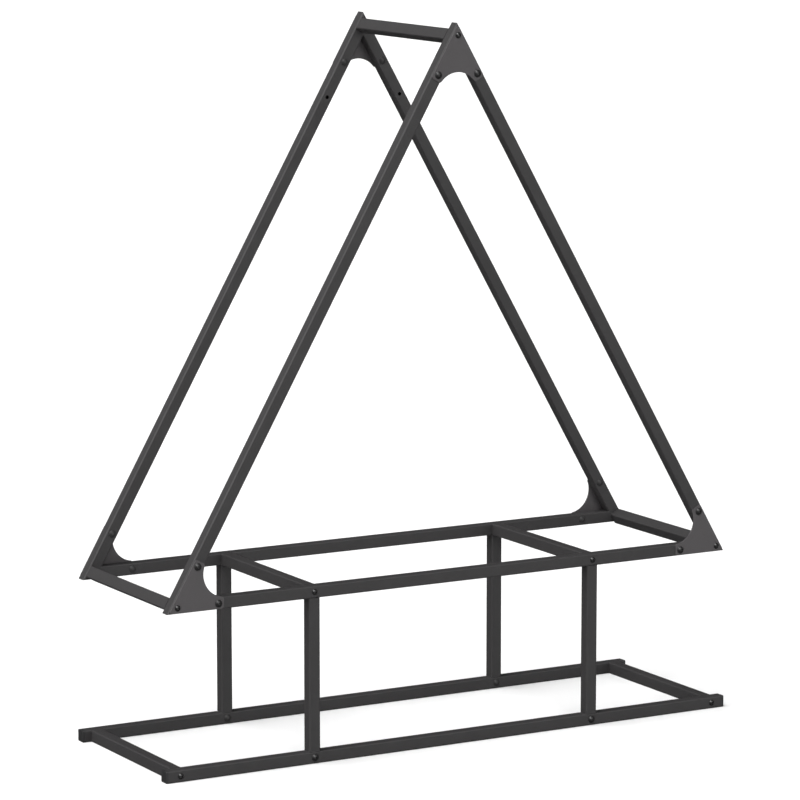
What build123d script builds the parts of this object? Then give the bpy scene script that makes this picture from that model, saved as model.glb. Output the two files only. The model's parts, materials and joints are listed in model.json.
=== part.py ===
"""Firewood log rack: two triangular tube frames joined by crossbars over a low base frame.

Millimetres, +Z up. X runs along the rack's width, -Y is its front, and the origin is the
centre of its footprint on the floor.
"""
from build123d import *
from math import cos, radians, sin, sqrt, tan
import os

# Driving dimensions
TRIANGLE_SIDE = 800.0        # each triangle is equilateral, this long on every side
RACK_HEIGHT = 900.0          # floor to the tips of the triangles
FRAME_DEPTH = 250.0          # over the outer faces of the front and back tubes
TUBE_SIZE = 15.0             # square tube, outside
TUBE_WALL = 1.2
TUBE_CORNER = 1.5            # outside corner radius

POST_X = 200.0               # posts and middle crossbars, each side of the centre
LOWER_CROSSBAR_X = 384.0     # end crossbars of the base frame
APEX_CROSSBAR_DROP = 2.6     # along the left leg, so it stays inside the right leg's outer face
WALL_HOLE_FROM_TIP = 118.0   # wall fixing holes, along the back legs
WALL_HOLE_DIAMETER = 5.0

GUSSET_THICKNESS = 1.5
GUSSET_REACH = 75.0          # from the triangle's corner to each end of the plate
GUSSET_INSET = 1.0           # plate edge in from the tubes' outer faces
GUSSET_ARC_RADIUS = 30.0     # concave edge, tangent to the tubes' inner faces
GUSSET_CORNER = 2.5
GUSSET_BOLT_REACH = 68.0     # from the triangle's corner to the bolts near the plate's ends

BOLT_DIAMETER = 5.0          # button head bolts that meet a sleeve nut
BOLT_LENGTH = 12.0
BOLT_HEAD = (9.5, 2.75)      # diameter and height
BOLT_SOCKET = (3.0, 1.5)     # hexagon across flats, and its depth
SCREW_DIAMETER = 4.0         # button head screws along the crossbars
SCREW_LENGTH = 30.0
SCREW_HEAD = (7.6, 2.2)
SCREW_SOCKET = (2.5, 1.3)
SLEEVE_DIAMETER = 6.4
SLEEVE_LENGTH = 10.0
SLEEVE_HEAD = (9.5, 2.4)
HEAD_RIM = 0.5               # straight edge under each domed head
THREAD_CLEARANCE = 0.05      # radial gap between a thread's nominal shank and its nut
HOLE_CLEARANCE = 0.15        # radial gap around a shank in a plain hole

PLUG_SIZE = 12.4             # threaded plugs pressed into the crossbars
PLUG_LENGTH = 18.0
SPIGOT_SIZE = 12.0           # square bars that locate the posts in the rails
SPIGOT_IN_POST = 25.0
SPIGOT_SLOT_GAP = 0.1        # around a spigot in its slot in the rail's wall
SPIGOT_END_GAP = 0.4         # from a spigot's end to the far wall of the rail

CAP_FLANGE = 3.0             # plastic end caps of the lower rails
CAP_PEG = 9.5
CAP_FIN = 12.4
CAP_FIN_THICKNESS = 1.0
CAP_FIN_PITCH = 3.5
CAP_FIN_COUNT = 3
CAP_EDGE = 0.8

# Derived places
TRIANGLE_HEIGHT = TRIANGLE_SIDE * sqrt(3) / 2
RAIL_Z = RACK_HEIGHT - TRIANGLE_HEIGHT               # underside of the upper rails
CENTROID_Z = RAIL_Z + TRIANGLE_HEIGHT / 3
HALF_SIDE = TRIANGLE_SIDE / 2
HALF_TUBE = TUBE_SIZE / 2
TUBE_BORE = TUBE_SIZE - 2 * TUBE_WALL
OUTER_Y = FRAME_DEPTH / 2
INNER_Y = OUTER_Y - TUBE_SIZE
MIDDLE_Y = OUTER_Y - HALF_TUBE
UPPER_RAIL_MIDDLE_Z = RAIL_Z + HALF_TUBE
CORNER_REACH = HALF_TUBE / tan(radians(30))          # corner to where the centre lines cross

FRONT = Plane(origin=(0, 0, 0), x_dir=(1, 0, 0), z_dir=(0, -1, 0))


def on_front(x, y, z):
    """Plane at a point, with its normal out of the rack's front and its y axis up."""
    return FRONT.offset(-y) * Pos(x, z, 0)


def at_back(shape):
    return mirror(shape, about=Plane.XZ)


def around_triangle(shape, turns):
    """Turn a front shape by thirds of a circle about the triangle's middle."""
    return Pos(0, 0, CENTROID_Z) * Rot(0, 120 * turns, 0) * Pos(0, 0, -CENTROID_Z) * shape


def triangle_point(x, z, turns):
    """Where a point of the triangle's plane lands after the same turns."""
    angle = radians(120 * turns)
    rise = z - CENTROID_Z
    return (x * cos(angle) + rise * sin(angle), CENTROID_Z - x * sin(angle) + rise * cos(angle))


def tube(plane, length):
    """Square tube that starts on a plane and runs along its normal."""
    outside = RectangleRounded(TUBE_SIZE, TUBE_SIZE, TUBE_CORNER)
    inside = RectangleRounded(TUBE_BORE, TUBE_BORE, TUBE_CORNER - TUBE_WALL)
    return extrude(plane * (outside - inside), length)


def tube_along_x(y, z, length):
    return tube(Plane(origin=(-length / 2, y, z), x_dir=(0, 1, 0), z_dir=(1, 0, 0)), length)


def drill(x, y, z, diameter, depth):
    """Cylinder to take out of a wall, from y towards the back."""
    return extrude(on_front(x, y, z) * Circle(diameter / 2), -depth)


def clear_hole(diameter):
    return diameter + 2 * HOLE_CLEARANCE


def screw_holes(x, z):
    return [drill(x, -OUTER_Y - 1, z, clear_hole(SCREW_DIAMETER), TUBE_SIZE + 2)]


def bolt_holes(x, z):
    """A small hole for the bolt in the outer wall, and a larger one for the sleeve inside."""
    outer = drill(x, -OUTER_Y - 1, z, clear_hole(BOLT_DIAMETER), HALF_TUBE + 1)
    inner = drill(x, -MIDDLE_Y, z, clear_hole(SLEEVE_DIAMETER), HALF_TUBE + 1)
    return [outer, inner]


def spigot_slot(x, wall_z):
    size = SPIGOT_SIZE + 2 * SPIGOT_SLOT_GAP
    return Pos(x, -MIDDLE_Y, wall_z) * Box(size, size, 2 * TUBE_WALL + 1)


# Triangular frames
def triangle_side():
    """One mitred side of the front triangle, in the place of its rail."""
    corners = [(-HALF_SIDE, RAIL_Z), (HALF_SIDE, RAIL_Z), (0, CENTROID_Z)]
    sector = extrude(on_front(0, -OUTER_Y - 1, 0) * make_face(Polyline(*corners, close=True)),
                     -TUBE_SIZE - 2)
    side = tube_along_x(-MIDDLE_Y, UPPER_RAIL_MIDDLE_Z, TRIANGLE_SIDE) & sector
    for end in (-1, 1):
        for hole in bolt_holes(end * (HALF_SIDE - GUSSET_BOLT_REACH), UPPER_RAIL_MIDDLE_Z):
            side -= hole
        for hole in screw_holes(end * (HALF_SIDE - CORNER_REACH), UPPER_RAIL_MIDDLE_Z):
            side -= hole
    return side


def upper_rail(side):
    for x in (-POST_X, POST_X):
        for hole in screw_holes(x, UPPER_RAIL_MIDDLE_Z):
            side -= hole
        side -= spigot_slot(x, RAIL_Z)
    return side


def wall_hole(end):
    """Hole through a back leg, cut while the leg still lies in the rail's place."""
    x = end * (HALF_SIDE - WALL_HOLE_FROM_TIP)
    return drill(x, -OUTER_Y - 1, UPPER_RAIL_MIDDLE_Z, WALL_HOLE_DIAMETER, TUBE_SIZE + 2)


# Gusset plates
def corner_point(along, across, from_leg):
    """Point near the left corner, from a tube's end and outer face, on its leg or its rail."""
    if not from_leg:
        return (along, across)
    slope = radians(60)
    return (along * cos(slope) + across * sin(slope), along * sin(slope) - across * cos(slope))


def gusset_screw_place():
    return corner_point(CORNER_REACH, HALF_TUBE, False)


def gusset_bolt_places():
    return [corner_point(GUSSET_BOLT_REACH, HALF_TUBE, from_leg) for from_leg in (False, True)]


def left_gusset():
    arc_centre = 2 * (TUBE_SIZE + GUSSET_ARC_RADIUS)
    arc_x = arc_centre * cos(radians(30))
    arc_z = arc_centre * sin(radians(30))
    end_width = arc_z - sqrt(GUSSET_ARC_RADIUS ** 2 - (arc_x - GUSSET_REACH) ** 2)
    outline = [
        corner_point(GUSSET_INSET / tan(radians(30)), GUSSET_INSET, False),
        corner_point(GUSSET_REACH, GUSSET_INSET, False),
        corner_point(GUSSET_REACH, end_width, False),
        corner_point(GUSSET_REACH, end_width, True),
        corner_point(GUSSET_REACH, GUSSET_INSET, True),
    ]
    plate = make_face(Polyline(*outline, close=True)) - Pos(arc_x, arc_z) * Circle(GUSSET_ARC_RADIUS)
    plate = fillet(plate.vertices(), GUSSET_CORNER)
    plate -= Pos(*gusset_screw_place()) * Circle(clear_hole(SCREW_DIAMETER) / 2)
    for place in gusset_bolt_places():
        plate -= Pos(*place) * Circle(clear_hole(BOLT_DIAMETER) / 2)
    return extrude(on_front(-HALF_SIDE, -OUTER_Y, RAIL_Z) * plate, GUSSET_THICKNESS)


# Crossbars, posts and base frame
def crossbar(x, z, slope):
    start = Plane(origin=(x, -INNER_Y, z), x_dir=(cos(slope), 0, sin(slope)), z_dir=(0, 1, 0))
    return tube(start, 2 * INNER_Y)


def thread_plug(x, z, slope, screw_offset=0.0):
    """Threaded block in the front end of a crossbar, with its screw off centre along the slope."""
    start = Plane(origin=(x, -INNER_Y, z), x_dir=(cos(slope), 0, sin(slope)), z_dir=(0, 1, 0))
    block = RectangleRounded(PLUG_SIZE, PLUG_SIZE, TUBE_CORNER - TUBE_WALL)
    return extrude(start * (block - Pos(screw_offset, 0) * Circle(SCREW_DIAMETER / 2)), PLUG_LENGTH)


def front_post(x):
    start = Plane(origin=(x, -MIDDLE_Y, TUBE_SIZE), x_dir=(1, 0, 0), z_dir=(0, 0, 1))
    return tube(start, RAIL_Z - TUBE_SIZE)


def spigot(x, low_z, hole_z, hole_diameter):
    """Square bar, half in a post and half in a rail, with the hole for the bolt across it."""
    length = SPIGOT_IN_POST + TUBE_SIZE - TUBE_WALL - SPIGOT_END_GAP
    bar = Pos(x, -MIDDLE_Y, low_z + length / 2) * Box(SPIGOT_SIZE, SPIGOT_SIZE, length)
    return bar - drill(x, -OUTER_Y, hole_z, hole_diameter, TUBE_SIZE)


def lower_rail():
    rail = tube_along_x(-MIDDLE_Y, HALF_TUBE, TRIANGLE_SIDE)
    for side in (-1, 1):
        for hole in bolt_holes(side * POST_X, HALF_TUBE):
            rail -= hole
        for hole in screw_holes(side * LOWER_CROSSBAR_X, HALF_TUBE):
            rail -= hole
        rail -= spigot_slot(side * POST_X, TUBE_SIZE)
    return rail


def right_end_cap():
    """Flange with a finned peg that grips the inside of the front lower rail."""
    end = Plane(origin=(HALF_SIDE, -MIDDLE_Y, HALF_TUBE), x_dir=(0, 1, 0), z_dir=(1, 0, 0))
    flange = extrude(end * RectangleRounded(TUBE_SIZE, TUBE_SIZE, TUBE_CORNER), CAP_FLANGE)
    cap = fillet(flange.faces().sort_by(Axis.X)[-1].edges(), CAP_EDGE)
    cap += extrude(end * Rectangle(CAP_PEG, CAP_PEG), -CAP_FIN_PITCH * CAP_FIN_COUNT - 1)
    for fin in range(CAP_FIN_COUNT):
        plane = end.offset(-CAP_FIN_PITCH * (fin + 1))
        cap += extrude(plane * Rectangle(CAP_FIN, CAP_FIN), CAP_FIN_THICKNESS)
    return cap


# Fasteners, each with its head out of the front and its shank towards the back
def domed_head(size):
    """Solid of revolution about the local Z axis, flat side at z = 0."""
    diameter, height = size
    half = diameter / 2
    middle = half * 0.6
    dome = height - HEAD_RIM
    sphere = (half ** 2 + dome ** 2) / (2 * dome)
    middle_z = height - sphere + sqrt(sphere ** 2 - middle ** 2)
    profile = [
        Line((0, 0, 0), (half, 0, 0)),
        Line((half, 0, 0), (half, 0, HEAD_RIM)),
        ThreePointArc((half, 0, HEAD_RIM), (middle, 0, middle_z), (0, 0, height)),
        Line((0, 0, height), (0, 0, 0)),
    ]
    return revolve(make_face(Curve() + profile), Axis.Z)


def button_head(size, socket, shank_diameter, shank_length):
    across_flats, depth = socket
    hexagon = RegularPolygon(across_flats / sqrt(3), 6)
    fastener = domed_head(size) - extrude(Plane.XY.offset(size[1] - depth) * hexagon, depth + 1)
    return fastener + extrude(Circle(shank_diameter / 2 - THREAD_CLEARANCE), -shank_length)


def sleeve_nut():
    """Domed flange, with a threaded sleeve below it that reaches into the tube."""
    sleeve = extrude(Circle(SLEEVE_DIAMETER / 2) - Circle(BOLT_DIAMETER / 2), -SLEEVE_LENGTH)
    return domed_head(SLEEVE_HEAD) + sleeve


def bolt_at(x, z, outer_y):
    return on_front(x, -outer_y, z) * button_head(BOLT_HEAD, BOLT_SOCKET, BOLT_DIAMETER, BOLT_LENGTH)


def screw_at(x, z, outer_y):
    return on_front(x, -outer_y, z) * button_head(SCREW_HEAD, SCREW_SOCKET, SCREW_DIAMETER, SCREW_LENGTH)


def sleeve_nut_at(x, z):
    inside = Plane(origin=(x, -INNER_Y, z), x_dir=(1, 0, 0), z_dir=(0, 1, 0))
    return inside * sleeve_nut()


def write(node, *solids):
    shape = solids[0] if len(solids) == 1 else Compound(children=list(solids))
    export_step(shape, f"parts/{node}.step")


def write_front_and_back(name, shape):
    write(f"front_{name}", shape)
    write(f"back_{name}", at_back(shape))


def front_and_back(shapes):
    return shapes + [at_back(shape) for shape in shapes]


def write_triangles():
    side = triangle_side()
    write_front_and_back("upper_rail", upper_rail(side))
    write("front_left_leg", around_triangle(side, 1))
    write("front_right_leg", around_triangle(side, -1))
    write("back_left_leg", at_back(around_triangle(side - wall_hole(-1), 1)))
    write("back_right_leg", at_back(around_triangle(side - wall_hole(1), -1)))


def write_gussets():
    """Plates at the three corners, with their bolts and the bolts' sleeve nuts."""
    bolts = []
    nuts = []
    for name, turns in (("left", 0), ("apex", 1), ("right", -1)):
        write_front_and_back(f"{name}_gusset", around_triangle(left_gusset(), turns))
        for x, z in gusset_bolt_places():
            place = triangle_point(x - HALF_SIDE, z + RAIL_Z, turns)
            bolts.append(bolt_at(*place, OUTER_Y + GUSSET_THICKNESS))
            nuts.append(sleeve_nut_at(*place))
    for name, solids in (("gusset_bolts", bolts), ("gusset_sleeve_nuts", nuts)):
        write(f"front_{name}", *solids)
        write(f"back_{name}", *[at_back(solid) for solid in solids])


def write_corner_crossbars():
    """Crossbars at the corners, turned to lie flush with a leg's outer face."""
    plugs = []
    screws = []
    x, z = gusset_screw_place()
    corners = (
        ("left_corner", 0, radians(60), 0.0),
        ("apex", 1, radians(60), APEX_CROSSBAR_DROP),
        ("right_corner", -1, radians(120), 0.0),
    )
    for name, turns, slope, drop in corners:
        place = triangle_point(x - HALF_SIDE, z + RAIL_Z, turns)
        middle = (place[0] - drop * cos(slope), place[1] - drop * sin(slope))
        write(f"{name}_crossbar", crossbar(*middle, slope))
        plugs.append(thread_plug(*middle, slope, drop))
        screws.append(screw_at(*place, OUTER_Y + GUSSET_THICKNESS))
    write("corner_crossbar_plugs", *front_and_back(plugs))
    write("front_corner_screws", *screws)
    write("back_corner_screws", *[at_back(screw) for screw in screws])


def write_level_crossbars(level, reach, z):
    """Left and right crossbars of one level, with the plugs and screws in their ends."""
    plugs = []
    screws = []
    for name, x in (("left", -reach), ("right", reach)):
        write(f"{level}_{name}_crossbar", crossbar(x, z, 0))
        plugs.append(thread_plug(x, z, 0))
        screws.append(screw_at(x, z, OUTER_Y))
    write(f"{level}_crossbar_plugs", *front_and_back(plugs))
    write(f"{level}_crossbar_screws", *front_and_back(screws))


def write_posts():
    spigot_z = RAIL_Z - SPIGOT_IN_POST
    upper_hole = clear_hole(SCREW_DIAMETER)
    lower_hole = clear_hole(SLEEVE_DIAMETER)
    low_end = TUBE_WALL + SPIGOT_END_GAP
    for name, x in (("left", -POST_X), ("right", POST_X)):
        write_front_and_back(f"{name}_post", front_post(x))
    places = (-POST_X, POST_X)
    uppers = [spigot(x, spigot_z, UPPER_RAIL_MIDDLE_Z, upper_hole) for x in places]
    lowers = [spigot(x, low_end, HALF_TUBE, lower_hole) for x in places]
    write("upper_post_spigots", *front_and_back(uppers))
    write("lower_post_spigots", *front_and_back(lowers))
    write("post_bolts", *front_and_back([bolt_at(x, HALF_TUBE, OUTER_Y) for x in places]))
    write("post_sleeve_nuts", *front_and_back([sleeve_nut_at(x, HALF_TUBE) for x in places]))


def write_lower_rails():
    write_front_and_back("lower_rail", lower_rail())
    write_front_and_back("right_end_cap", right_end_cap())
    write_front_and_back("left_end_cap", mirror(right_end_cap(), about=Plane.YZ))


os.makedirs("parts", exist_ok=True)
write_triangles()
write_gussets()
write_corner_crossbars()
write_level_crossbars("middle", POST_X, UPPER_RAIL_MIDDLE_Z)
write_level_crossbars("lower", LOWER_CROSSBAR_X, HALF_TUBE)
write_posts()
write_lower_rails()
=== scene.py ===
"""Looks, light and camera for a free-standing firewood rack.

A triangular log holder of square steel tube stands on four short posts over a low base frame.
Every piece is a CAD node of the frame: this script gives each its finish, and adds the floor,
the studio light and the camera. Lengths are in metres and angles in degrees.
"""

import json
import math

import bmesh
import bpy
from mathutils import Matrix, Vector

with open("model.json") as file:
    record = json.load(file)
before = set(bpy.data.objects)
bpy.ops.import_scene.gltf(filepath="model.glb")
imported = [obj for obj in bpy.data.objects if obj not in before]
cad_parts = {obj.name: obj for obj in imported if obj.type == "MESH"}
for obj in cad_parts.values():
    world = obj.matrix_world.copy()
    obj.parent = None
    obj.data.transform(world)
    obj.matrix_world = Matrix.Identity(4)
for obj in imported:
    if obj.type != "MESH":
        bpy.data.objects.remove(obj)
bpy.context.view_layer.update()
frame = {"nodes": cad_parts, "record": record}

MILLIMETRE = 0.001
WHITE = (1.0, 1.0, 1.0, 1.0)

# Where the camera stands, as seen from the middle of the rack.
CAMERA_AZIMUTH = -29.61
CAMERA_ELEVATION = 9.19
CAMERA_DISTANCE = 5.092
CAMERA_AIM = Vector((-0.0094, 0.0, 0.4189))
CAMERA_LENS_MM = 181.96
CAMERA_SENSOR_MM = 36.0

# Studio soft boxes: the azimuth and elevation they stand at, their strength, and how wide they look.
SOFT_BOXES = {
    "overhead": (-80.0, 70.0, 2.75, 40.0),
    "left": (-90.0, 20.0, 1.5, 40.0),
    "front": (-15.0, 38.0, 1.22, 34.0),
    "fill": (20.0, 10.0, 0.73, 40.0),
    "rim": (-130.0, 40.0, 0.44, 40.0),
    "back": (180.0, 15.0, 0.9, 60.0),
    "side": (80.0, 15.0, 0.7, 60.0),
}
MATT_ONLY = ("back", "side")     # these lift the shadows and show in no reflection
FLOOR_RADIUS = 60.0
FLOOR_SEGMENTS = 96

# Tones shared by the fasteners.
BLACK_STEEL_DARK = (0.0100, 0.0098, 0.0099)
BLACK_STEEL_LIGHT = (0.0170, 0.0166, 0.0168)
RUBBED_STEEL = (0.12, 0.12, 0.122)

# Noise hovers about 0.5 and seldom leaves this range.
NOISE_LOW = 0.3
NOISE_HIGH = 0.7

# A corner is where the rounded normal turns away from the true one. These are cosines of the turn.
CORNER_STARTS = 0.995
CORNER_FULL = 0.9

BEVEL_SAMPLES = 4

# A Mix node has sockets of the same name for each kind of value, so these pick the colours' own.
MIX_AMOUNT = 0
MIX_COLOURS = (6, 7)
MIX_RESULT = 2


def direction_from(azimuth, elevation):
    """The unit vector from the rack towards a viewer. Azimuth 0 is the front, 90 is the right."""
    turn = math.radians(azimuth)
    rise = math.radians(elevation)
    return Vector((math.sin(turn) * math.cos(rise), -math.cos(turn) * math.cos(rise), math.sin(rise)))


class Finish:
    """A material under construction. Each method adds a node and returns its output."""

    def __init__(self, name):
        self.material = bpy.data.materials.new(name)
        self.material.use_nodes = True
        self.tree = self.material.node_tree
        self.shader = self.tree.nodes["Principled BSDF"]
        self.place = self.tree.nodes.new("ShaderNodeTexCoord").outputs["Object"]

    def link(self, source, socket):
        self.tree.links.new(source, socket)

    def drive(self, **sources):
        """Links outputs to the shader's sockets, such as Base_Color."""
        for name, source in sources.items():
            self.link(source, self.shader.inputs[name.replace("_", " ")])

    def set(self, **values):
        """Sets the shader's own sockets, such as Metallic."""
        for name, value in values.items():
            self.shader.inputs[name.replace("_", " ")].default_value = value

    def grain(self, size, detail=2.0, stretch=(1.0, 1.0, 1.0)):
        """Noise whose lumps are about size metres across."""
        mapping = self.tree.nodes.new("ShaderNodeMapping")
        mapping.inputs["Scale"].default_value = stretch
        self.link(self.place, mapping.inputs["Vector"])
        noise = self.tree.nodes.new("ShaderNodeTexNoise")
        noise.inputs["Scale"].default_value = 1.0 / size
        noise.inputs["Detail"].default_value = detail
        self.link(mapping.outputs["Vector"], noise.inputs["Vector"])
        return noise.outputs["Fac"]

    def spread(self, value, low_out, high_out, low_in=NOISE_LOW, high_in=NOISE_HIGH):
        """Value from low_in to high_in, carried over to low_out to high_out."""
        node = self.tree.nodes.new("ShaderNodeMapRange")
        node.inputs["From Min"].default_value = low_in
        node.inputs["From Max"].default_value = high_in
        node.inputs["To Min"].default_value = low_out
        node.inputs["To Max"].default_value = high_out
        self.link(value, node.inputs["Value"])
        return node.outputs["Result"]

    def combine(self, operation, first, second):
        """Two numbers put together by a Math node's operation, such as ADD."""
        node = self.tree.nodes.new("ShaderNodeMath")
        node.operation = operation
        self.link(first, node.inputs[0])
        self.link(second, node.inputs[1])
        return node.outputs["Value"]

    def blend(self, amount, low_colour, high_colour):
        """A colour from low_colour to high_colour; either may be another node's colour."""
        node = self.tree.nodes.new("ShaderNodeMix")
        node.data_type = "RGBA"
        self.link(amount, node.inputs[MIX_AMOUNT])
        for index, colour in zip(MIX_COLOURS, (low_colour, high_colour)):
            if isinstance(colour, bpy.types.NodeSocket):
                self.link(colour, node.inputs[index])
            else:
                node.inputs[index].default_value = (*colour, 1.0)
        return node.outputs[MIX_RESULT]

    def corners(self, radius):
        """1 on the outer corners of the metal and 0 on its flat faces."""
        bevel = self.tree.nodes.new("ShaderNodeBevel")
        bevel.samples = BEVEL_SAMPLES
        bevel.inputs["Radius"].default_value = radius
        surface = self.tree.nodes.new("ShaderNodeNewGeometry")
        dot = self.tree.nodes.new("ShaderNodeVectorMath")
        dot.operation = "DOT_PRODUCT"
        self.link(bevel.outputs["Normal"], dot.inputs[0])
        self.link(surface.outputs["Normal"], dot.inputs[1])
        return self.spread(dot.outputs["Value"], 0.0, 1.0, CORNER_STARTS, CORNER_FULL)

    def rubbed(self, radius, patch_size, patch_detail, patch_range, most):
        """How bare the corners are, from 0 to most, in patches."""
        patches = self.grain(patch_size, patch_detail)
        return self.combine("MULTIPLY", self.corners(radius), self.spread(patches, 0.0, most, *patch_range))

    def bump(self, height, distance, under=None):
        """A normal raised by height times distance metres, over the normal under it."""
        node = self.tree.nodes.new("ShaderNodeBump")
        node.inputs["Distance"].default_value = distance
        self.link(height, node.inputs["Height"])
        if under is not None:
            self.link(under, node.inputs["Normal"])
        return node.outputs["Normal"]


def powder_coat(name, dark, light, worn, grain_size, grain_depth, roughness):
    """Powder coat: cloudy colour, fine speckle, orange-peel grain, and slightly rubbed corners."""
    finish = Finish(name)
    clouds = finish.grain(40 * MILLIMETRE, detail=3.0)
    speckle = finish.grain(grain_size, detail=1.0)
    cloud_share = finish.spread(clouds, 0.0, 0.6)
    speckle_share = finish.spread(speckle, 0.0, 0.4, low_in=0.35, high_in=0.65)
    mottle = finish.combine("ADD", cloud_share, speckle_share)
    rub = finish.rubbed(
        radius=0.8 * MILLIMETRE,
        patch_size=9 * MILLIMETRE,
        patch_detail=4.0,
        patch_range=(0.45, 0.7),
        most=1.0,
    )
    waves = finish.bump(finish.grain(3 * MILLIMETRE, detail=1.0), 0.02 * MILLIMETRE)
    finish.drive(
        Base_Color=finish.blend(rub, finish.blend(mottle, dark, light), worn),
        Roughness=finish.spread(clouds, roughness + 0.05, roughness - 0.05),
        Normal=finish.bump(speckle, grain_depth, under=waves),
    )
    return finish.material


def tube_coat():
    return powder_coat(
        "tube_powder_coat",
        dark=(0.0286, 0.0273, 0.0279),
        light=(0.0343, 0.0328, 0.0335),
        worn=(0.100, 0.098, 0.098),
        grain_size=0.7 * MILLIMETRE,
        grain_depth=0.09 * MILLIMETRE,
        roughness=0.5,
    )


def plate_coat():
    return powder_coat(
        "plate_powder_coat",
        dark=(0.0602, 0.0560, 0.0582),
        light=(0.0639, 0.0595, 0.0618),
        worn=(0.130, 0.126, 0.128),
        grain_size=0.5 * MILLIMETRE,
        grain_depth=0.04 * MILLIMETRE,
        roughness=0.56,
    )


def satin_steel(name, dark, light, roughness, gloss):
    """Coated steel with a satin shine and rubbed rims, as on bolts and nuts."""
    finish = Finish(name)
    clouds = finish.grain(2.5 * MILLIMETRE, detail=3.0)
    rub = finish.rubbed(
        radius=0.4 * MILLIMETRE,
        patch_size=2 * MILLIMETRE,
        patch_detail=2.0,
        patch_range=(0.4, 0.7),
        most=0.8,
    )
    finish.drive(
        Base_Color=finish.blend(rub, finish.blend(clouds, dark, light), RUBBED_STEEL),
        Roughness=finish.spread(clouds, roughness + 0.04, roughness - 0.04),
        Normal=finish.bump(finish.grain(0.25 * MILLIMETRE), 0.006 * MILLIMETRE),
    )
    finish.set(Specular_IOR_Level=gloss)
    return finish.material


def screw_coat():
    return satin_steel(
        "screw_black_coat",
        dark=BLACK_STEEL_DARK,
        light=BLACK_STEEL_LIGHT,
        roughness=0.26,
        gloss=0.9,
    )


def bolt_coat():
    return satin_steel(
        "bolt_black_coat",
        dark=BLACK_STEEL_DARK,
        light=BLACK_STEEL_LIGHT,
        roughness=0.36,
        gloss=0.75,
    )


def nut_coat():
    return satin_steel(
        "nut_anthracite_coat",
        dark=(0.0230, 0.0224, 0.0226),
        light=(0.0300, 0.0292, 0.0295),
        roughness=0.42,
        gloss=0.35,
    )


def cap_plastic():
    """Moulded black plastic with a fine spark-eroded texture."""
    finish = Finish("cap_moulded_plastic")
    clouds = finish.grain(12 * MILLIMETRE, detail=3.0)
    finish.drive(
        Base_Color=finish.blend(clouds, (0.0190, 0.0190, 0.0194), (0.0250, 0.0250, 0.0255)),
        Roughness=finish.spread(clouds, 0.44, 0.36),
        Normal=finish.bump(finish.grain(0.4 * MILLIMETRE), 0.02 * MILLIMETRE),
    )
    return finish.material


def inner_steel():
    """Bare machined steel with drawing lines along Z."""
    finish = Finish("inner_bare_steel")
    lines = finish.grain(0.3 * MILLIMETRE, stretch=(1.0, 1.0, 0.04))
    finish.drive(
        Base_Color=finish.blend(lines, (0.30, 0.30, 0.31), (0.45, 0.45, 0.46)),
        Roughness=finish.spread(lines, 0.3, 0.45),
        Normal=finish.bump(lines, 0.01 * MILLIMETRE),
    )
    finish.set(Metallic=1.0)
    return finish.material


def floor_finish():
    """A pale, matt, very slightly uneven studio floor."""
    finish = Finish("pale_floor")
    tone = finish.grain(0.8)
    finish.drive(Base_Color=finish.blend(tone, (0.81, 0.81, 0.81), (0.83, 0.83, 0.83)))
    finish.set(Roughness=1.0, Specular_IOR_Level=0.0)
    return finish.material


def dress_nodes():
    """Each CAD node takes the finish of its material slot in the record."""
    finishes = {
        "tube_coat": tube_coat(),
        "plate_coat": plate_coat(),
        "screw_coat": screw_coat(),
        "bolt_coat": bolt_coat(),
        "nut_coat": nut_coat(),
        "cap_plastic": cap_plastic(),
        "inner_steel": inner_steel(),
    }
    for part in frame["record"]["subparts"]:
        node = frame["nodes"][part["node"]]
        for slot in node.material_slots:
            slot.material = finishes[part["material_slot"]]


def add_floor():
    shape = bmesh.new()
    bmesh.ops.create_circle(shape, cap_ends=True, segments=FLOOR_SEGMENTS, radius=FLOOR_RADIUS)
    mesh = bpy.data.meshes.new("studio_floor")
    shape.to_mesh(mesh)
    shape.free()
    mesh.materials.append(floor_finish())
    floor = bpy.data.objects.new("studio_floor", mesh)
    bpy.context.scene.collection.objects.link(floor)
    floor.visible_glossy = False


def add_soft_boxes():
    """Wide, distant lamps, so their light is soft and as strong all over the floor."""
    for name, (azimuth, elevation, strength, width) in SOFT_BOXES.items():
        lamp = bpy.data.lights.new(name, "SUN")
        lamp.energy = strength
        lamp.angle = math.radians(width)
        holder = bpy.data.objects.new(name, lamp)
        holder.rotation_euler = direction_from(azimuth, elevation).to_track_quat("Z", "Y").to_euler()
        holder.visible_glossy = name not in MATT_ONLY
        bpy.context.scene.collection.objects.link(holder)


def add_backdrop():
    """White surroundings that only the camera sees, so the lamps alone light the rack."""
    world = bpy.data.worlds.new("white_backdrop")
    world.use_nodes = True
    world.node_tree.nodes["Background"].inputs["Color"].default_value = WHITE
    bpy.context.scene.world = world
    world.cycles_visibility.diffuse = False
    world.cycles_visibility.glossy = False


def add_camera():
    lens = bpy.data.cameras.new("camera")
    lens.sensor_width = CAMERA_SENSOR_MM
    lens.lens = CAMERA_LENS_MM
    lens.clip_end = 2 * FLOOR_RADIUS
    camera = bpy.data.objects.new("camera", lens)
    back = direction_from(CAMERA_AZIMUTH, CAMERA_ELEVATION)
    camera.location = CAMERA_AIM + back * CAMERA_DISTANCE
    camera.rotation_euler = back.to_track_quat("Z", "Y").to_euler()
    bpy.context.scene.collection.objects.link(camera)
    bpy.context.scene.camera = camera


dress_nodes()
add_floor()
add_soft_boxes()
add_backdrop()
add_camera()
bpy.context.scene.view_settings.view_transform = "Standard"
